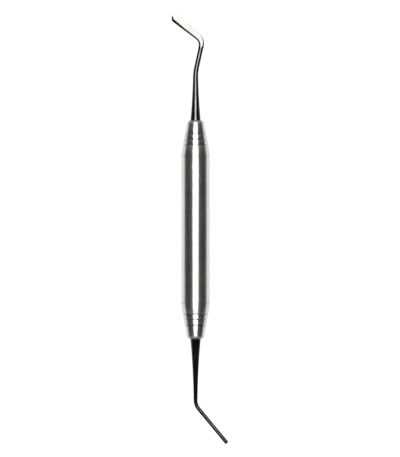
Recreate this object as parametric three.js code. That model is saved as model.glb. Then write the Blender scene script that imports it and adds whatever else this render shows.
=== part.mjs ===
// Double-ended dental filling instrument: a paddle on one end and a round condenser on the other.
// A hollow steel handle has a turned nose pressed into each end, and each nose holds a working end.
// Millimetres. The handle lies along X and touches z = 0, with the paddle at +X and the condenser
// at -X. Both working ends bend sideways, level with the handle's axis: the paddle towards +Y and
// the condenser towards -Y. The origin is under the middle of the handle.

import * as THREE from "three";

// Handle
const handleRadius = 5;
const barrelLength = 51.4;
const barrelWall = 0.7;
const turnedSides = 24; // flats round the handle, one of them straight down
const fitGap = 0.1; // clearance drawn at each press fit and at each shoulder

// Nose, measured from its small end face
const noseLength = 12.4;
const noseFaceRadius = 2.0;
const noseChamfer = 0.75;
const coneStartRadius = 3.06;
const grooveCentres = [4.85, 6.8, 8.7];
const grooveWidth = 0.4;
const grooveDepth = 0.2;
const ringLip = 0.15; // how far each ring's leading edge stands out of the cone
const spigotLength = 6;
const boreRadius = 1.85; // takes the thicker tang with fitGap round it

// Working ends, measured along the metal from the nose's face
const tangLength = 10; // hidden in the nose
const shankSides = 20;
const shankStep = 0.9;

const paddleEnd = {
  baseRadius: 1.73,
  neckRadius: 0.84,
  taperLength: 20.2,
  legs: [16.8, 11.26, 13.7],
  headings: [0, -12.4, 48.6], // degrees from the handle's axis
  bendRadii: [17, 3.6],
};
const flareStart = 25.4;
const flareEnd = 39.6;
const paddleHalfWidth = 1.9;
const paddleHalfDepth = 0.45;
const flatInnerAngle = 70; // degrees round the section where the flat's thick edge lies
const flatOuterAngle = 168;
const paddleCap = 0.25; // what is left of the section at the rounded end
const wideningPower = 1.15; // above 1 the paddle widens slowly at first
const edgePower = 2.2; // how early the flat's outer edge swings round to the side
const pressedShare = 0.125; // share of the flare over which the round top becomes flat

const condenserEnd = {
  baseRadius: 1.75,
  neckRadius: 0.65,
  taperLength: 25.2,
  legs: [23.1, 17.2],
  headings: [0, 39.6],
  bendRadii: [4.8],
};

const satinSteel = { color: 0xb9b9b7, roughness: 0.38, metalness: 1 };
const darkSteel = { color: 0x3a3a3b, roughness: 0.15, metalness: 1 };

const axisHeight = handleRadius;
const noseFace = barrelLength / 2 + noseLength;

function named(name, geometry, finish) {
  const mesh = new THREE.Mesh(geometry, new THREE.MeshStandardMaterial(finish));
  mesh.name = name;
  return mesh;
}

// Turns a closed outline of [along, radius] points about X, with a flat facing straight down.
function turned(outline) {
  const corner = 1 / Math.cos(Math.PI / turnedSides);
  const points = [...outline, outline[0]].map(([along, radius]) =>
    new THREE.Vector2(radius * corner, along));
  const geometry = new THREE.LatheGeometry(points, turnedSides, Math.PI / turnedSides);
  return geometry.rotateZ(-Math.PI / 2);
}

function barrel() {
  const half = barrelLength / 2 - fitGap;
  const bore = handleRadius - barrelWall;
  return turned([
    [-half, handleRadius],
    [half, handleRadius],
    [half, bore],
    [-half, bore],
  ]);
}

// A nose on the +X side, with its small end face at x = 0 and its spigot reaching back into the tube.
function nose() {
  const slope = (handleRadius - coneStartRadius) / (noseLength - noseChamfer);
  const coneAt = (depth) => coneStartRadius + (depth - noseChamfer) * slope;
  const spigot = handleRadius - barrelWall - fitGap;
  const back = noseLength + spigotLength;
  const outline = [
    [-back, boreRadius],
    [-back, spigot],
    [-noseLength, spigot],
    [-noseLength, handleRadius],
  ];
  for (const centre of [...grooveCentres].reverse()) {
    const far = centre + grooveWidth / 2;
    const near = centre - grooveWidth / 2;
    const floor = coneAt(near) - grooveDepth;
    outline.push([-far, coneAt(far) + ringLip]);
    outline.push([-far + grooveWidth / 4, floor]);
    outline.push([-near - grooveWidth / 4, floor]);
    outline.push([-near, coneAt(near)]);
  }
  outline.push([-noseChamfer, coneStartRadius]);
  outline.push([0, noseFaceRadius]);
  outline.push([0, boreRadius]);
  return turned(outline);
}

// The centre line of a working end: straight legs in the XY plane joined by round bends.
function centreLine({ legs, headings, bendRadii }) {
  const heading = (i) => {
    const angle = THREE.MathUtils.degToRad(headings[i]);
    return new THREE.Vector3(Math.cos(angle), Math.sin(angle), 0);
  };
  const path = new THREE.CurvePath();
  let from = new THREE.Vector3(-tangLength, 0, 0);
  let corner = new THREE.Vector3();
  legs.forEach((length, i) => {
    corner = corner.clone().addScaledVector(heading(i), length);
    if (i === legs.length - 1) {
      path.add(new THREE.LineCurve3(from, corner));
      return;
    }
    const turn = Math.abs(headings[i + 1] - headings[i]) * THREE.MathUtils.DEG2RAD;
    const reach = bendRadii[i] * Math.tan(turn / 2);
    const handle = (4 / 3) * Math.tan(turn / 4) * bendRadii[i];
    const start = corner.clone().addScaledVector(heading(i), -reach);
    const end = corner.clone().addScaledVector(heading(i + 1), reach);
    path.add(new THREE.LineCurve3(from, start));
    path.add(new THREE.CubicBezierCurve3(
      start,
      start.clone().addScaledVector(heading(i), handle),
      end.clone().addScaledVector(heading(i + 1), -handle),
      end,
    ));
    from = end;
  });
  return path;
}

// Sweeps a section along a centre line and caps both ends. sectionAt gives the section's corners as
// [across, up] pairs, anticlockwise as seen from the free end.
function swept(path, stations, sectionAt) {
  const up = new THREE.Vector3(0, 0, 1);
  const vertices = [];
  const faces = [];
  const total = path.getLength();
  const addVertex = (point) => vertices.push(point.x, point.y, point.z);
  stations.forEach((along) => {
    const u = (along + tangLength) / total;
    const centre = path.getPointAt(u);
    const across = up.clone().cross(path.getTangentAt(u));
    for (const [side, height] of sectionAt(along)) {
      addVertex(centre.clone().addScaledVector(across, side).addScaledVector(up, height));
    }
  });
  const rings = stations.length;
  for (let ring = 0; ring < rings - 1; ring++) {
    for (let i = 0; i < shankSides; i++) {
      const next = (i + 1) % shankSides;
      const a = ring * shankSides + i;
      const b = ring * shankSides + next;
      faces.push(a, b, b + shankSides, a, b + shankSides, a + shankSides);
    }
  }
  const last = (rings - 1) * shankSides;
  addVertex(path.getPointAt(0));
  addVertex(path.getPointAt(1));
  const backHub = rings * shankSides;
  for (let i = 0; i < shankSides; i++) {
    const next = (i + 1) % shankSides;
    faces.push(backHub, next, i);
    faces.push(backHub + 1, last + i, last + next);
  }
  const geometry = new THREE.BufferGeometry();
  geometry.setAttribute("position", new THREE.Float32BufferAttribute(vertices, 3));
  geometry.setIndex(faces);
  return geometry;
}

function shankRadius({ baseRadius, neckRadius, taperLength }, along) {
  const left = THREE.MathUtils.clamp(1 - along / taperLength, 0, 1);
  return neckRadius + (baseRadius - neckRadius) * left ** 2;
}

function stationsTo(end) {
  const count = Math.round((end + tangLength) / shankStep);
  return Array.from({ length: count + 1 }, (_, i) => -tangLength + ((end + tangLength) * i) / count);
}

function condenser() {
  const path = centreLine(condenserEnd);
  const stations = stationsTo(path.getLength() - tangLength);
  return swept(path, stations, (along) => {
    const radius = shankRadius(condenserEnd, along);
    return Array.from({ length: shankSides }, (_, i) => {
      const angle = (2 * Math.PI * i) / shankSides;
      return [radius * Math.cos(angle), radius * Math.sin(angle)];
    });
  });
}

// The paddle is the shank's round section pressed wider and thinner, with a flat ground on top that
// runs from a thick inner flank to a thin outer edge. Its end is rounded.
function paddle() {
  const path = centreLine(paddleEnd);
  const end = path.getLength() - tangLength;
  const roundSteps = 6;
  const roundEnd = Array.from({ length: roundSteps }, (_, i) =>
    flareEnd + (end - flareEnd) * Math.sin(((i + 1) / roundSteps) * (Math.PI / 2)));
  return swept(path, [...stationsTo(flareEnd), ...roundEnd], (along) => {
    const flare = THREE.MathUtils.clamp((along - flareStart) / (flareEnd - flareStart), 0, 1);
    const pastFlare = Math.max(along - flareEnd, 0) / (end - flareEnd);
    const narrowing = Math.max(Math.sqrt(1 - Math.min(pastFlare, 1) ** 2), paddleCap);
    const radius = shankRadius(paddleEnd, along);
    const halfWidth = (radius + (paddleHalfWidth - radius) * flare ** wideningPower) * narrowing;
    const halfDepth = radius + (paddleHalfDepth - radius) * flare;
    return paddleSection(halfWidth, halfDepth, flare);
  });
}

function paddleSection(halfWidth, halfDepth, flare) {
  const onOval = (degrees) => {
    const angle = THREE.MathUtils.degToRad(degrees);
    return [halfWidth * Math.cos(angle), halfDepth * Math.sin(angle)];
  };
  const degreesPerSide = 360 / shankSides;
  const firstFlat = 4; // corners of the round section that become the flat's two edges
  const lastFlat = 7;
  const spread = 1 - (1 - flare) ** edgePower;
  const roundInner = firstFlat * degreesPerSide;
  const roundOuter = lastFlat * degreesPerSide;
  const inner = THREE.MathUtils.lerp(roundInner, flatInnerAngle, flare);
  const outer = THREE.MathUtils.lerp(roundOuter, flatOuterAngle, spread);
  return Array.from({ length: shankSides }, (_, i) => {
    if (i <= firstFlat) return onOval((inner * i) / firstFlat);
    if (i >= lastFlat) {
      return onOval(outer + ((360 - outer) * (i - lastFlat)) / (shankSides - lastFlat));
    }
    const share = (i - firstFlat) / (lastFlat - firstFlat);
    const chord = onOval(inner).map((value, k) =>
      THREE.MathUtils.lerp(value, onOval(outer)[k], share));
    const oval = onOval(THREE.MathUtils.lerp(inner, outer, share));
    const pressed = Math.min(flare / pressedShare, 1);
    return oval.map((value, k) => THREE.MathUtils.lerp(value, chord[k], pressed));
  });
}

// One end of the instrument, built on the +X side of its nose's face.
function handleEnd(endName, workingEnd) {
  const end = new THREE.Group();
  end.add(named(endName + "_nose", nose(), satinSteel));
  end.add(named(endName + "_end", workingEnd, darkSteel));
  return end;
}

const instrument = new THREE.Group();
instrument.position.z = axisHeight;
instrument.add(named("handle_barrel", barrel(), satinSteel));

const paddleSide = handleEnd("paddle", paddle());
paddleSide.position.x = noseFace;
instrument.add(paddleSide);

const condenserSide = handleEnd("condenser", condenser());
condenserSide.position.x = -noseFace;
condenserSide.rotation.z = Math.PI;
instrument.add(condenserSide);

export default instrument;
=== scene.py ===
import math

import bmesh
import bpy
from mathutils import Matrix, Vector


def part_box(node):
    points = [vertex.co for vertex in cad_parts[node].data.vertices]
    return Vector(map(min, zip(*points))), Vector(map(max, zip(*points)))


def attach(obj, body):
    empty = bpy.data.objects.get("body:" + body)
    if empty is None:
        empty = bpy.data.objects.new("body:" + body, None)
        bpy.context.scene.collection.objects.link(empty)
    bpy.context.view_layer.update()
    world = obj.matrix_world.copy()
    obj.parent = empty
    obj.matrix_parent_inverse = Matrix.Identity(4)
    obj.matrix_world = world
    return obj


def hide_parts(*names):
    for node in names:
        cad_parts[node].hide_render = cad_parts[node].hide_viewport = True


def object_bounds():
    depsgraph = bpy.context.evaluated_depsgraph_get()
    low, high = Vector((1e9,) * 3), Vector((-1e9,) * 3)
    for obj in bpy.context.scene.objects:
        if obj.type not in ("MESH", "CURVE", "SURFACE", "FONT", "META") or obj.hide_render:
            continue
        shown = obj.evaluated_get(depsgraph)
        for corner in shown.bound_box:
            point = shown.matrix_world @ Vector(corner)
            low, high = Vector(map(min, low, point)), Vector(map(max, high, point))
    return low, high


# Double-ended dental filling instrument lying on a lit table. The satin hollow handle lies along X
# and holds two dark polished working ends: a paddle with a bright ground flat towards +X and a
# straight round condenser towards -X.
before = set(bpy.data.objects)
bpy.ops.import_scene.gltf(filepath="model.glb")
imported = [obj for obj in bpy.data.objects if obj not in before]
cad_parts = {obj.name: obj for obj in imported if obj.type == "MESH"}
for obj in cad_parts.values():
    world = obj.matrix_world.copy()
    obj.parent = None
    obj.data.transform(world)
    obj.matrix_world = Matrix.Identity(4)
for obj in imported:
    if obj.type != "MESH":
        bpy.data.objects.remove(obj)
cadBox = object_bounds()

mm = 0.001
barrelLow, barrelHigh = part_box("handle_barrel")
handleRadius = (barrelHigh.z - barrelLow.z) / 2
axisHeight = (barrelHigh.z + barrelLow.z) / 2
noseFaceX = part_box("paddle_nose")[1].x
halfTurn = math.pi
sameSpot = 0.001 * mm  # points closer than this are merged
nearSpot = 0.01 * mm  # points closer than this to a place count as being there


# small helpers for selecting and editing

def dropSelection():
    bpy.ops.object.select_all(action="DESELECT")


def pickPiece(piece):
    dropSelection()
    bpy.context.view_layer.objects.active = piece
    piece.select_set(True)


def startEditing(piece):
    pickPiece(piece)
    bpy.ops.object.mode_set(mode="EDIT")


def stopEditing():
    bpy.ops.object.mode_set(mode="OBJECT")


def pickFaces(piece, wanted):
    # selects the faces for which wanted(face) is true, and says how many there are
    bpy.ops.mesh.select_mode(type="FACE")
    bpy.ops.mesh.select_all(action="DESELECT")
    bm = bmesh.from_edit_mesh(piece.data)
    count = 0
    for face in bm.faces:
        if wanted(face):
            face.select_set(True)
            count += 1
    bmesh.update_edit_mesh(piece.data)
    return count


def pickVertices(piece, wanted):
    bpy.ops.mesh.select_mode(type="VERT")
    bpy.ops.mesh.select_all(action="DESELECT")
    bm = bmesh.from_edit_mesh(piece.data)
    for vertex in bm.verts:
        if wanted(vertex.co):
            vertex.select_set(True)
    bm.select_flush(True)
    bmesh.update_edit_mesh(piece.data)


def settle(piece):
    # place, turn and size go into the mesh, and the finished piece sits at the origin
    pickPiece(piece)
    bpy.ops.object.transform_apply(location=True, rotation=True, scale=True)


def smoothBelow(piece, degrees):
    pickPiece(piece)
    bpy.ops.object.shade_smooth_by_angle(angle=math.radians(degrees))


# turned pieces: the outline is drawn as a loop of edges beside the axis and spun round it

turning = {
    "steps": 192,
    "cornerRadius": 0.05 * mm,
    "cornerSteps": 2,
    "softCornerSteps": 5,
    "smoothAngle": 24,
}


def turnOutline(name, outline, softCorners=()):
    # outline: (x, radius) pairs round the cut face of the metal
    # softCorners: (x, radius, rounding) for the corners that are rounded more than the rest
    dropSelection()
    x, radius = outline[0]
    bpy.ops.mesh.primitive_plane_add(size=handleRadius, location=(x, 0, radius))
    piece = bpy.context.object
    piece.name = name
    bpy.ops.object.mode_set(mode="EDIT")
    bpy.ops.mesh.merge(type="CENTER")
    for (x0, r0), (x1, r1) in zip(outline, outline[1:] + outline[:1]):
        step = (x1 - x0, 0, r1 - r0)
        bpy.ops.mesh.extrude_region_move(TRANSFORM_OT_translate={"value": step})
    bpy.ops.mesh.select_all(action="SELECT")
    bpy.ops.mesh.remove_doubles(threshold=sameSpot)
    stopEditing()
    settle(piece)
    startEditing(piece)
    softPlaces = [Vector((x, 0, radius)) for x, radius, _ in softCorners]
    pickVertices(piece, lambda co: all((co - place).length > nearSpot for place in softPlaces))
    bpy.ops.mesh.bevel(offset=turning["cornerRadius"], segments=turning["cornerSteps"], affect="VERTICES")
    for place, (_, _, rounding) in zip(softPlaces, softCorners):
        pickVertices(piece, lambda co: (co - place).length < nearSpot)
        bpy.ops.mesh.bevel(offset=rounding, segments=turning["softCornerSteps"], affect="VERTICES")
    bpy.ops.mesh.select_all(action="SELECT")
    bpy.ops.mesh.spin(
        steps=turning["steps"], angle=2 * halfTurn, center=(0, 0, 0), axis=(1, 0, 0), use_auto_merge=True
    )
    bpy.ops.mesh.select_all(action="SELECT")
    bpy.ops.mesh.remove_doubles(threshold=sameSpot)
    bpy.ops.mesh.normals_make_consistent(inside=False)
    bpy.ops.transform.translate(value=(0, 0, axisHeight))
    stopEditing()
    smoothBelow(piece, turning["smoothAngle"])
    return piece


barrelTube = {
    "wall": 0.7 * mm,
    "seam": 0.04 * mm,  # hairline left at each nose's shoulder
    "edge": 0.08 * mm,
}


def makeBarrel():
    end = noseFaceX - nose["length"] - barrelTube["seam"]
    bore = handleRadius - barrelTube["wall"]
    outline = [(-end, handleRadius), (end, handleRadius), (end, bore), (-end, bore)]
    soft = [(-end, handleRadius, barrelTube["edge"]), (end, handleRadius, barrelTube["edge"])]
    return turnOutline("barrelTube", outline, soft)


nose = {
    "length": 12.4 * mm,
    "faceRadius": 2.0 * mm,
    "chamfer": 0.75 * mm,
    "coneStart": 3.06 * mm,
    "grooves": (4.85 * mm, 6.8 * mm, 8.7 * mm),
    "grooveWidth": 0.4 * mm,
    "grooveDepth": 0.2 * mm,
    "ringLip": 0.15 * mm,
    "boreRadius": 1.79 * mm,
    "spigotLength": 6 * mm,
    "spigotFit": 0.06 * mm,
    "chamferRounding": 0.3 * mm,
    "shoulderRounding": 0.08 * mm,
}


def coneSlope():
    return (handleRadius - nose["coneStart"]) / (nose["length"] - nose["chamfer"])


def coneAt(depth):
    # radius of the plain cone, by depth below the small end's face
    return nose["coneStart"] + (depth - nose["chamfer"]) * coneSlope()


def makeNose(name):
    shoulder = nose["length"]
    back = shoulder + nose["spigotLength"]
    spigot = handleRadius - barrelTube["wall"] - nose["spigotFit"]
    depths = [(back, nose["boreRadius"]), (back, spigot), (shoulder, spigot), (shoulder, handleRadius)]
    for centre in reversed(nose["grooves"]):
        far = centre + nose["grooveWidth"] / 2
        close = centre - nose["grooveWidth"] / 2
        floor = coneAt(close) - nose["grooveDepth"]
        slant = nose["grooveWidth"] / 4
        depths += [
            (far, coneAt(far) + nose["ringLip"]),
            (far - slant, floor),
            (close + slant, floor),
            (close, coneAt(close)),
        ]
    depths += [(nose["chamfer"], nose["coneStart"]), (0, nose["faceRadius"]), (0, nose["boreRadius"])]
    outline = [(noseFaceX - depth, radius) for depth, radius in depths]
    soft = [
        (noseFaceX - nose["chamfer"], nose["coneStart"], nose["chamferRounding"]),
        (noseFaceX - shoulder, handleRadius, nose["shoulderRounding"]),
    ]
    return turnOutline(name, outline, soft)


def copyToOtherEnd(piece, name):
    # the same turned piece again, swung half a turn about the middle of the handle
    pickPiece(piece)
    bpy.ops.object.duplicate(linked=False)
    twin = bpy.context.object
    twin.name = name
    startEditing(twin)
    bpy.ops.mesh.select_all(action="SELECT")
    bpy.ops.transform.rotate(value=halfTurn, orient_axis="Z", center_override=(0, 0, 0))
    stopEditing()
    return twin


# working ends: drawn straight along X ring by ring, then bent on a curve

forging = {
    "corners": 64,
    "tangLength": 10 * mm,
    "tangChamfer": 0.4 * mm,
    "coarseStep": 0.8 * mm,
    "fineStep": 0.2 * mm,
    "aroundBend": 3 * mm,  # fine steps this far to each side of the condenser's bend
    "beforeFlare": 1 * mm,  # and this far ahead of the paddle's flare
    "roundSteps": 14,  # round the paddle's end
    "curveSteps": 96,
    "smoothAngle": 9,
}

paddle = {
    "baseRadius": 1.73 * mm,
    "neckRadius": 0.84 * mm,
    "taperLength": 20.2 * mm,
    "legs": (16.8 * mm, 11.26 * mm, 13.7 * mm),
    "headings": (0, -12.4, 48.6),
    "bendRadii": (17 * mm, 3.6 * mm),
    "flareStart": 25.4 * mm,
    "flareEnd": 39.6 * mm,
    "halfWidth": 1.9 * mm,
    "halfDepth": 0.42 * mm,
    "wideningPower": 1.15,
    "thinningPower": 0.35,  # how late the rounded end grows thin
    "flatHeight": 0.24 * mm,  # of the ground flat over the middle of the metal, near the tip
    "sinkPower": 2.1,  # how soon the flat sinks to that height
    "tipLean": 0.127,  # slope of the flat across the paddle, down to its outer edge
    "bellyLean": 0.17,  # added halfway along
    "flankLightDepth": 0.27 * mm,  # down from the thick edge of the flat
    "flankLightGrowth": 3.5 * mm,  # along the metal, from the start of the flare
    "flankLightFade": 5 * mm,  # the same, up to where the painted highlight ends
    "flankLightEnd": 39.4 * mm,
}

condenser = {
    "baseRadius": 1.75 * mm,
    "neckRadius": 0.65 * mm,
    "taperLength": 25.2 * mm,
    "legs": (23.1 * mm, 17.2 * mm),
    "headings": (0, 39.6),
    "bendRadii": (4.8 * mm,),
    "faceChamfer": 0.05 * mm,
}


def taper(end, along):
    left = min(max(1 - along / end["taperLength"], 0), 1)
    return end["neckRadius"] + (end["baseRadius"] - end["neckRadius"]) * left**2


def metalLength(end):
    # length along the middle of the metal, with each corner cut short by its bend
    total = sum(end["legs"])
    for radius, before, after in zip(end["bendRadii"], end["headings"], end["headings"][1:]):
        turn = math.radians(abs(after - before))
        total += radius * turn - 2 * radius * math.tan(turn / 2)
    return total


def drawStraight(name, rings):
    # rings: (along, half width, half depth) from the back of the tang to the free end
    along, halfWidth, halfDepth = rings[0]
    dropSelection()
    bpy.ops.mesh.primitive_circle_add(
        vertices=forging["corners"],
        radius=halfWidth,
        fill_type="NGON",
        location=(along, 0, 0),
        rotation=(0, halfTurn / 2, 0),
    )
    piece = bpy.context.object
    piece.name = name
    settle(piece)
    startEditing(piece)
    bpy.ops.mesh.select_all(action="SELECT")
    for nextAlong, nextWidth, nextDepth in rings[1:]:
        step = (nextAlong - along, 0, 0)
        bpy.ops.mesh.extrude_region_move(TRANSFORM_OT_translate={"value": step})
        bpy.ops.transform.resize(
            value=(1, nextWidth / halfWidth, nextDepth / halfDepth), center_override=(nextAlong, 0, 0)
        )
        along, halfWidth, halfDepth = nextAlong, nextWidth, nextDepth
    bpy.ops.mesh.select_all(action="SELECT")
    bpy.ops.mesh.normals_make_consistent(inside=False)
    stopEditing()
    return piece


def stepsBetween(start, end, step):
    count = max(round((end - start) / step), 1)
    return [start + (end - start) * i / count for i in range(1, count + 1)]


def tangRings(end):
    back = -forging["tangLength"]
    chamfer = forging["tangChamfer"]
    radius = end["baseRadius"]
    return [
        (back, radius - chamfer, radius - chamfer),
        (back + chamfer, radius, radius),
        (-chamfer, radius, radius),
        (0, radius, radius),
    ]


def bendOnCurve(piece, end):
    # the curve runs down the middle of the metal: straight legs joined by round bends
    tang = forging["tangLength"]
    headings = [Vector((math.cos(math.radians(h)), math.sin(math.radians(h)), 0)) for h in end["headings"]]
    knots = []  # (place, handle back, handle forward)
    corner = Vector((0, 0, 0))
    start = Vector((-tang, 0, 0))
    knots.append((start, -headings[0] * mm, headings[0] * mm))
    for i, radius in enumerate(end["bendRadii"]):
        corner = corner + headings[i] * end["legs"][i]
        turn = math.radians(abs(end["headings"][i + 1] - end["headings"][i]))
        reach = radius * math.tan(turn / 2)
        pull = 4 / 3 * math.tan(turn / 4) * radius
        knots.append((corner - headings[i] * reach, -headings[i] * mm, headings[i] * pull))
        knots.append((corner + headings[i + 1] * reach, -headings[i + 1] * pull, headings[i + 1] * mm))
    corner = corner + headings[-1] * (end["legs"][-1] + tang)
    knots.append((corner, -headings[-1] * mm, headings[-1] * mm))
    dropSelection()
    bpy.ops.curve.primitive_bezier_curve_add(location=(0, 0, 0))
    guide = bpy.context.object
    guide.name = piece.name + "Guide"
    guide.data.dimensions = "3D"
    guide.data.twist_mode = "Z_UP"
    guide.data.resolution_u = forging["curveSteps"]
    points = guide.data.splines[0].bezier_points
    points.add(len(knots) - len(points))
    for point, (place, back, forward) in zip(points, knots):
        point.handle_left_type = "FREE"
        point.handle_right_type = "FREE"
        point.co = place
        point.handle_left = place + back
        point.handle_right = place + forward
    # the modifier counts length from the start of the curve
    startEditing(piece)
    bpy.ops.mesh.select_all(action="SELECT")
    bpy.ops.transform.translate(value=(tang, 0, 0))
    stopEditing()
    bend = piece.modifiers.new("bend", "CURVE")
    bend.object = guide
    bend.deform_axis = "POS_X"
    bpy.ops.object.modifier_apply(modifier=bend.name)
    bpy.data.objects.remove(guide)


def intoHandle(piece, turned):
    # from the origin, where the end was drawn, to its nose
    startEditing(piece)
    bpy.ops.mesh.select_all(action="SELECT")
    bpy.ops.transform.translate(value=(noseFaceX, 0, axisHeight))
    if turned:
        bpy.ops.transform.rotate(value=halfTurn, orient_axis="Z", center_override=(0, 0, 0))
    stopEditing()
    smoothBelow(piece, forging["smoothAngle"])


def notePlaces(piece):
    # keeps each point's place in the straight bar, so that polishing lines follow the bends
    note = piece.data.attributes.new("barPlace", "FLOAT_VECTOR", "POINT")
    note.data.foreach_set("vector", [value for vertex in piece.data.vertices for value in vertex.co])


def noteFlankLight(piece):
    # painted highlight: how far the steel is made lighter, and rougher, along the thick edge of the ground
    # flat
    note = piece.data.attributes.new("flankHighlightEdge", "FLOAT", "POINT")
    flankLight = []
    for x, y, z in (vertex.co for vertex in piece.data.vertices):
        fromStart = (x - paddle["flareStart"]) / paddle["flankLightGrowth"]
        toEnd = (paddle["flankLightEnd"] - x) / paddle["flankLightFade"]
        flankHighlight = min(fromStart, toEnd, 1)
        below = groundHeight(x, y) - z if y > 0 and flankHighlight > 0 else 1
        flankLight.append(flankHighlight * max(0, 1 - below / paddle["flankLightDepth"]))
    note.data.foreach_set("value", flankLight)


def makeCondenserEnd():
    total = metalLength(condenser)
    lastFull = total - condenser["faceChamfer"]
    bendStart = condenser["legs"][0] - forging["aroundBend"]
    bendEnd = condenser["legs"][0] + forging["aroundBend"]
    places = stepsBetween(0, bendStart, forging["coarseStep"])
    places += stepsBetween(bendStart, bendEnd, forging["fineStep"])
    places += stepsBetween(bendEnd, lastFull, forging["coarseStep"])
    rings = tangRings(condenser) + [(p, taper(condenser, p), taper(condenser, p)) for p in places]
    tip = rings[-1][1] - condenser["faceChamfer"]
    rings.append((total, tip, tip))
    piece = drawStraight("condenserEnd", rings)
    notePlaces(piece)
    bendOnCurve(piece, condenser)
    intoHandle(piece, turned=True)
    return piece


def makePaddleEnd():
    total = metalLength(paddle)
    flareStart, flareEnd = paddle["flareStart"], paddle["flareEnd"]
    roundLength = total - flareEnd
    places = stepsBetween(0, flareStart - forging["beforeFlare"], forging["coarseStep"])
    places += stepsBetween(places[-1], flareEnd, forging["fineStep"])
    for i in range(1, forging["roundSteps"]):
        places.append(flareEnd + roundLength * math.sin(i / forging["roundSteps"] * halfTurn / 2))
    rings = tangRings(paddle)
    for along in places:
        flare = min(max((along - flareStart) / (flareEnd - flareStart), 0), 1)
        pastFlare = max(along - flareEnd, 0) / roundLength
        radius = taper(paddle, along)
        narrowing = math.sqrt(1 - pastFlare**2)
        wide = radius + (paddle["halfWidth"] - radius) * flare ** paddle["wideningPower"]
        deep = radius + (paddle["halfDepth"] - radius) * flare
        rings.append((along, wide * narrowing, deep * narrowing ** paddle["thinningPower"]))
    piece = drawStraight("paddleEnd", rings)
    grindFlat(piece)
    notePlaces(piece)
    noteFlankLight(piece)
    bendOnCurve(piece, paddle)
    intoHandle(piece, turned=False)
    return piece


grinding = {
    "reach": 3 * mm,  # of the wheel, to each side and upwards
    "overrun": 1 * mm,  # past the end of the paddle
    "shortestEdge": 0.004 * mm,
    "flatness": 0.016 * mm,  # how far the points of the flat's faces may lie off it
}


def groundHeight(along, across):
    # height of the ground flat over the middle of the metal
    done = min((along - paddle["flareStart"]) / (paddle["flareEnd"] - paddle["flareStart"]), 1)
    sunk = paddle["neckRadius"] - paddle["flatHeight"]
    middle = paddle["flatHeight"] + sunk * (1 - done) ** paddle["sinkPower"]
    lean = paddle["tipLean"] * done + paddle["bellyLean"] * math.sin(halfTurn * done)
    return middle + lean * across


def grindFlat(piece):
    # the grinding wheel is a thick strip, drawn across the metal and led along it
    reach = grinding["reach"]
    along = paddle["flareStart"]
    dropSelection()
    bpy.ops.mesh.primitive_plane_add(size=2 * reach, location=(along + reach, 0, 0))
    wheel = bpy.context.object
    settle(wheel)
    startEditing(wheel)
    pickVertices(wheel, lambda co: co.x > along + reach)
    bpy.ops.mesh.delete(type="VERT")
    for side in (-reach, reach):
        pickVertices(wheel, lambda co: co.y * side > 0)
        bpy.ops.transform.translate(value=(0, 0, groundHeight(along, side)))
    for ahead in stepsBetween(along, metalLength(paddle) + grinding["overrun"], forging["fineStep"]):
        pickVertices(wheel, lambda co: co.x > along - nearSpot)
        bpy.ops.mesh.extrude_region_move(TRANSFORM_OT_translate={"value": (ahead - along, 0, 0)})
        for side in (-reach, reach):
            pickVertices(wheel, lambda co: co.y * side > 0 and co.x > ahead - nearSpot)
            fall = groundHeight(ahead, side) - groundHeight(along, side)
            bpy.ops.transform.translate(value=(0, 0, fall))
        along = ahead
    bpy.ops.mesh.select_all(action="SELECT")
    bpy.ops.mesh.extrude_region_move(TRANSFORM_OT_translate={"value": (0, 0, reach)})
    bpy.ops.mesh.select_all(action="SELECT")
    bpy.ops.mesh.normals_make_consistent(inside=False)
    stopEditing()
    pickPiece(piece)
    grind = piece.modifiers.new("grind", "BOOLEAN")
    grind.object = wheel
    grind.solver = "EXACT"
    bpy.ops.object.modifier_apply(modifier=grind.name)
    bpy.data.objects.remove(wheel)
    startEditing(piece)
    clearSlivers(piece)
    print("ground flat:", pickFaces(piece, onGroundFlat), "faces")
    for _ in range(2):
        piece.data.materials.append(None)  # a slot for the dark steel, then one for the ground flat's lighter steel, a painted highlight
    piece.active_material_index = 1
    bpy.ops.object.material_slot_assign()
    stopEditing()


def clearSlivers(piece):
    # the cut leaves very short edges, and points in the middle of an edge
    bpy.ops.mesh.select_all(action="SELECT")
    bpy.ops.mesh.dissolve_degenerate(threshold=grinding["shortestEdge"])
    bpy.ops.mesh.select_mode(type="VERT")
    bpy.ops.mesh.select_all(action="DESELECT")
    bm = bmesh.from_edit_mesh(piece.data)
    for vertex in bm.verts:
        if len(vertex.link_edges) == 2:
            vertex.select_set(True)
    bmesh.update_edit_mesh(piece.data)
    bpy.ops.mesh.dissolve_verts()


def onGroundFlat(face):
    # true for the faces that the wheel left
    start = paddle["flareStart"] - nearSpot
    for vertex in face.verts:
        x, y, z = vertex.co
        if x <= start or abs(z - groundHeight(x, y)) >= grinding["flatness"]:
            return False
    return True


print("turning the handle")
barrel = makeBarrel()
paddleNose = makeNose("paddleNose")
condenserNose = copyToOtherEnd(paddleNose, "condenserNose")
print("forging the working ends")
paddlePiece = makePaddleEnd()
condenserPiece = makeCondenserEnd()


# finishes: every pattern is worked out in metres, so one unit of noise scale is one wave per metre

def newMaterial(name):
    material = bpy.data.materials.new(name)
    material.use_nodes = True
    return material, material.node_tree.nodes, material.node_tree.links


def waves(tree, place, scale, detail=2):
    # noise from 0 to 1 round 0.5, stretched by giving each direction its own scale
    stretch = tree.nodes.new("ShaderNodeMapping")
    stretch.inputs["Scale"].default_value = scale
    noise = tree.nodes.new("ShaderNodeTexNoise")
    noise.inputs["Scale"].default_value = 1
    noise.inputs["Detail"].default_value = detail
    tree.links.new(place, stretch.inputs["Vector"])
    tree.links.new(stretch.outputs["Vector"], noise.inputs["Vector"])
    return noise.outputs["Fac"]


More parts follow.
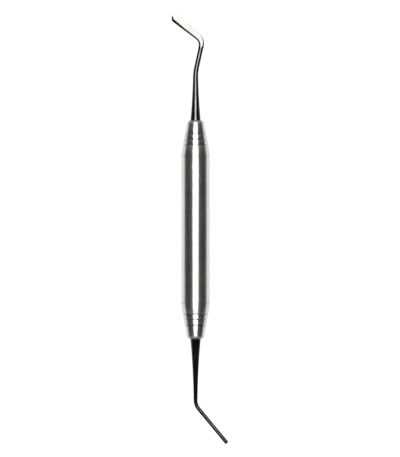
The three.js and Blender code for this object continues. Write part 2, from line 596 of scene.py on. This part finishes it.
def spread(tree, value, low, high, start=0.35, end=0.65):
    # carries a pattern's start..end over to low..high
    node = tree.nodes.new("ShaderNodeMapRange")
    for socket, number in zip(("From Min", "From Max", "To Min", "To Max"), (start, end, low, high)):
        node.inputs[socket].default_value = number
    tree.links.new(value, node.inputs["Value"])
    return node.outputs["Result"]


def calculate(tree, operation, *values):
    node = tree.nodes.new("ShaderNodeMath")
    node.operation = operation
    for socket, value in zip(node.inputs, values):
        if isinstance(value, (int, float)):
            socket.default_value = value
        else:
            tree.links.new(value, socket)
    return node.outputs["Value"]


def blendPatterns(tree, share, first, second):
    # share of the first and the rest of the second
    return calculate(tree, "MULTIPLY_ADD", first, share, calculate(tree, "MULTIPLY", second, 1 - share))


def blendColour(tree, share, first, second):
    node = tree.nodes.new("ShaderNodeMix")
    node.data_type = "RGBA"
    tree.links.new(share, node.inputs["Factor"])
    for socket, colour in ((node.inputs[6], first), (node.inputs[7], second)):
        if isinstance(colour, tuple):
            socket.default_value = colour
        else:
            tree.links.new(colour, socket)
    return node.outputs[2]


def roughen(tree, height, strength, depth):
    bump = tree.nodes.new("ShaderNodeBump")
    bump.inputs["Strength"].default_value = strength
    bump.inputs["Distance"].default_value = depth
    tree.links.new(height, bump.inputs["Height"])
    tree.links.new(bump.outputs["Normal"], tree.nodes["Principled BSDF"].inputs["Normal"])


satin = {
    "bright": (0.71, 0.71, 0.675, 1),
    "dull": (0.55, 0.55, 0.52, 1),
    "paintedShade": (0.05, 0.05, 0.05, 1),  # painted shade in the grooves and round the joint with the shank
    "grooveShadeShare": 0.5,
    "grooveLip": 0.03 * mm,  # depth at which the painted shade starts
    "jointShadeShare": 0.75,
    "jointFade": (-0.2 * mm, 0.3 * mm),  # from the corner of the chamfer
    "roughness": (0.32, 0.4),
    "anisotropy": 0.95,
    "quarterTurn": 0.25,
    "toolLines": (9000, 60, 60),
    "feedLines": (3500, 40, 40),
    "feedShare": 0.6,  # the rest is tool lines
    "grain": (2300, 2300, 2300),
    "grainShare": 0.5,  # the rest is lines
    "patternRange": (0.38, 0.62),
    "smudges": (110, 110, 110),
    "smudgeShare": 0.5,  # the rest is feed lines
    "lineStrength": 0.25,
    "lineDepth": 0.02 * mm,
}


def satinSteel(name, grooved):
    # lines run round the axis, so a highlight spreads along it and stays narrow across it
    material, nodes, links = newMaterial(name)
    tree = material.node_tree
    shader = nodes["Principled BSDF"]
    shader.inputs["Metallic"].default_value = 1
    shader.inputs["Anisotropic"].default_value = satin["anisotropy"]
    shader.inputs["Anisotropic Rotation"].default_value = satin["quarterTurn"]
    tangent = nodes.new("ShaderNodeTangent")
    tangent.direction_type = "RADIAL"
    tangent.axis = "X"
    links.new(tangent.outputs["Tangent"], shader.inputs["Tangent"])
    place = nodes.new("ShaderNodeTexCoord").outputs["Object"]
    toolLines = waves(tree, place, satin["toolLines"], 3)
    feedLines = waves(tree, place, satin["feedLines"], 2)
    smudges = waves(tree, place, satin["smudges"], 4)
    grain = waves(tree, place, satin["grain"], 3)
    lines = blendPatterns(tree, satin["feedShare"], feedLines, toolLines)
    pattern = blendPatterns(tree, satin["grainShare"], grain, lines)
    shine = spread(tree, pattern, 0, 1, *satin["patternRange"])
    colour = blendColour(tree, shine, satin["dull"], satin["bright"])
    if grooved:
        # painted shade in the grooves and round the joint with the shank
        colour = blendColour(tree, paintedShadeShare(tree, place), colour, satin["paintedShade"])
    links.new(colour, shader.inputs["Base Color"])
    uneven = blendPatterns(tree, satin["smudgeShare"], smudges, feedLines)
    links.new(spread(tree, uneven, *satin["roughness"]), shader.inputs["Roughness"])
    roughen(tree, toolLines, satin["lineStrength"], satin["lineDepth"])
    return material


def paintedShadeShare(tree, place):
    # painted shade: dark in the grooves, where a point lies below the line of the cone, and at the joint
    # with the shank
    onAxis = tree.nodes.new("ShaderNodeMapping")
    onAxis.inputs["Location"].default_value = (0, 0, -axisHeight)
    tree.links.new(place, onAxis.inputs["Vector"])
    parts = tree.nodes.new("ShaderNodeSeparateXYZ")
    tree.links.new(onAxis.outputs["Vector"], parts.inputs["Vector"])
    x, y, z = parts.outputs
    along = calculate(tree, "ABSOLUTE", x)
    squared = calculate(tree, "MULTIPLY_ADD", y, y, calculate(tree, "MULTIPLY", z, z))
    radius = calculate(tree, "SQRT", squared)
    # the cone's line is worked out from where it would stand in the middle of the handle
    cone = calculate(tree, "MULTIPLY_ADD", along, -coneSlope(), coneAt(noseFaceX))
    below = calculate(tree, "SUBTRACT", cone, radius)
    coneEnd = noseFaceX - nose["chamfer"]
    fadeStart, fadeEnd = satin["jointFade"]
    shadeInGroove = spread(tree, below, 0, satin["grooveShadeShare"], satin["grooveLip"], nose["grooveDepth"])
    shadeAtJoint = spread(tree, along, 0, satin["jointShadeShare"], coneEnd + fadeStart, coneEnd + fadeEnd)
    return calculate(tree, "MAXIMUM", shadeInGroove, shadeAtJoint)


dark = {
    "metal": 0.985,  # the rest is the thin dull skin that darkens the steel
    "dull": (0.05, 0.05, 0.05, 1),
    "bright": (0.085, 0.084, 0.082, 1),
    "edgeTint": (0.15, 0.15, 0.15, 1),  # the dark steel stays dark where it curves out of sight
    # painted highlight along the flank under the flat's thick edge
    "flankHighlight": (0.42, 0.42, 0.41, 1),
    "flankHighlightRoughness": 0.45,
    "roughness": (0.07, 0.15),
    "lines": (180, 9000, 9000),  # polished along the bar
    "smudges": (260, 260, 260),
    "smudgeShare": 0.6,  # the rest is lines
    "lineStrength": 0.3,
    "lineDepth": 0.004 * mm,
}

# painted highlight: the flat gets a far lighter steel than the dark working end round it, standing in for
# the softbox's reflection in the face turned up to it
ground = {
    "metal": 1,
    "bright": (0.57, 0.565, 0.54, 1),
    "dull": (0.42, 0.415, 0.395, 1),
    "edgeTint": (1, 1, 1, 1),
    "roughness": (0.58, 0.7),
    "lines": (6000, 350, 350),  # the wheel ran across it
    "smudges": (500, 500, 500),
    "smudgeShare": 0.6,  # the rest is lines
    "lineStrength": 0.3,
    "lineDepth": 0.006 * mm,
}


def workedSteel(name, look):
    # the lines follow the straight bar that the piece was bent from
    material, nodes, links = newMaterial(name)
    tree = material.node_tree
    shader = nodes["Principled BSDF"]
    shader.inputs["Metallic"].default_value = look["metal"]
    shader.inputs["Specular Tint"].default_value = look["edgeTint"]
    note = nodes.new("ShaderNodeAttribute")
    note.attribute_name = "barPlace"
    lines = waves(tree, note.outputs["Vector"], look["lines"], 3)
    smudges = waves(tree, note.outputs["Vector"], look["smudges"], 4)
    colour = blendColour(tree, spread(tree, smudges, 0, 1), look["dull"], look["bright"])
    uneven = blendPatterns(tree, look["smudgeShare"], smudges, lines)
    roughness = spread(tree, uneven, *look["roughness"])
    # painted highlight: a lighter colour, and more roughness, along the flank under the flat's thick edge
    if "flankHighlight" in look:
        flankLight = nodes.new("ShaderNodeAttribute")
        flankLight.attribute_name = "flankHighlightEdge"
        colour = blendColour(tree, flankLight.outputs["Fac"], colour, look["flankHighlight"])
        roughness = calculate(tree, "MULTIPLY_ADD", flankLight.outputs["Fac"], look["flankHighlightRoughness"], roughness)
    links.new(colour, shader.inputs["Base Color"])
    links.new(roughness, shader.inputs["Roughness"])
    roughen(tree, lines, look["lineStrength"], look["lineDepth"])
    return material


print("finishing the steel")
barrel.data.materials.append(satinSteel("barrelSatin", grooved=False))
noseSatin = satinSteel("noseSatin", grooved=True)
for piece in (paddleNose, condenserNose):
    piece.data.materials.append(noseSatin)
darkSteel = workedSteel("darkSteel", dark)
paintedHighlightSteel = workedSteel("paintedHighlightSteel", ground)
condenserPiece.data.materials.append(darkSteel)
paddlePiece.data.materials[0] = darkSteel
paddlePiece.data.materials[1] = paintedHighlightSteel


# table, lights and camera

studio = {
    "tableRadius": 9,
    "tableSteps": 96,
    "tableGlow": 0.86,  # the table is a lit panel, so that hardly a shadow shows on it
    "tableWhite": 0.12,
    "tableRoughness": 0.9,
    "boxSize": (1.1, 0.92),
    "boxPlace": (0.5, 0, 1.25),
    "boxPower": 28,
    "archRadius": 1.7,
    "archLength": 4.4,
    "archSteps": 64,
    "archPlace": (-0.3, 0, 0),
    "archFoot": 0.01,
    "clearTable": 42 * mm,  # bare table on each side of the handle, then cloth
    "clothThickness": 0.3 * mm,
    "archCloth": 0.034,
    "lensLength": 168,  # this and the next as a camera gives them, in millimetres
    "sensorWidth": 36,
    "farthest": 20,
    "framed": 159.4 * mm,  # along the instrument
}


def makeTable():
    dropSelection()
    bpy.ops.mesh.primitive_circle_add(
        vertices=studio["tableSteps"], radius=studio["tableRadius"], fill_type="NGON", location=(0, 0, 0)
    )
    table = bpy.context.object
    table.name = "tableTop"
    material, nodes, links = newMaterial("litPanel")
    shader = nodes["Principled BSDF"]
    white = studio["tableWhite"]
    shader.inputs["Base Color"].default_value = (white, white, white, 1)
    shader.inputs["Roughness"].default_value = studio["tableRoughness"]
    shader.inputs["Specular IOR Level"].default_value = 0
    shader.inputs["Emission Color"].default_value = (1, 1, 1, 1)
    shader.inputs["Emission Strength"].default_value = studio["tableGlow"]
    table.data.materials.append(material)


def makeArch():
    # dark cloth hung and laid along both long sides, which only the metal's reflections see
    dropSelection()
    bpy.ops.mesh.primitive_cylinder_add(
        vertices=studio["archSteps"],
        radius=studio["archRadius"],
        depth=studio["archLength"],
        end_fill_type="NOTHING",
        location=studio["archPlace"],
        rotation=(0, halfTurn / 2, 0),
    )
    arch = bpy.context.object
    arch.name = "clothArch"
    settle(arch)
    startEditing(arch)
    bpy.ops.mesh.select_all(action="SELECT")
    foot = studio["archFoot"]
    bpy.ops.mesh.bisect(plane_co=(0, 0, foot), plane_no=(0, 0, 1), clear_inner=True)
    laid = studio["archRadius"] - studio["clearTable"]
    for side in (-1, 1):
        pickVertices(arch, lambda co: co.y * side > 0 and co.z < foot + nearSpot)
        bpy.ops.mesh.extrude_region_move(
            TRANSFORM_OT_translate={"value": (0, -side * laid, studio["clothThickness"] - foot)}
        )
    stopEditing()
    material, nodes, links = newMaterial("darkCloth")
    shader = nodes["Principled BSDF"]
    grey = studio["archCloth"]
    shader.inputs["Base Color"].default_value = (grey, grey, grey, 1)
    shader.inputs["Roughness"].default_value = 1
    shader.inputs["Specular IOR Level"].default_value = 0
    arch.data.materials.append(material)
    arch.visible_camera = False
    arch.visible_diffuse = False
    arch.visible_transmission = False
    arch.visible_shadow = False


def makeLights():
    bpy.ops.object.light_add(type="AREA", location=studio["boxPlace"])
    box = bpy.context.object
    box.name = "softbox"
    box.data.shape = "RECTANGLE"
    box.data.size, box.data.size_y = studio["boxSize"]
    box.data.energy = studio["boxPower"]


def makeWorld():
    world = bpy.data.worlds.new("studioRoom")
    bpy.context.scene.world = world
    world.use_nodes = True
    room = world.node_tree.nodes["Background"]
    room.inputs["Color"].default_value = (1, 1, 1, 1)
    room.inputs["Strength"].default_value = 1


def makeCamera():
    low, high = cadBox
    bpy.ops.object.camera_add()
    camera = bpy.context.object
    camera.name = "overheadCamera"
    camera.data.lens = studio["lensLength"]
    camera.data.sensor_width = studio["sensorWidth"]
    distance = studio["framed"] * studio["lensLength"] / studio["sensorWidth"]
    middle = (low + high) / 2
    camera.location = (middle.x, middle.y, axisHeight + distance)
    camera.rotation_euler = (0, 0, -halfTurn / 2)
    camera.data.clip_end = studio["farthest"]
    bpy.context.scene.camera = camera


print("setting up the studio")
makeTable()
makeArch()
makeLights()
makeWorld()
makeCamera()
bpy.context.scene.view_settings.view_transform = "Standard"


# how each piece rides and what it stands for

stands = {
    "handle_barrel": (barrel, "barrel_steel"),
    "paddle_nose": (paddleNose, "nose_steel"),
    "condenser_nose": (condenserNose, "nose_steel"),
    "paddle_end": (paddlePiece, "working_steel"),
    "condenser_end": (condenserPiece, "working_steel"),
}
for node, (piece, slot) in stands.items():
    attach(piece, "root")
    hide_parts(node)

print("cad", [round(v * 1000, 2) for c in cadBox for v in c])
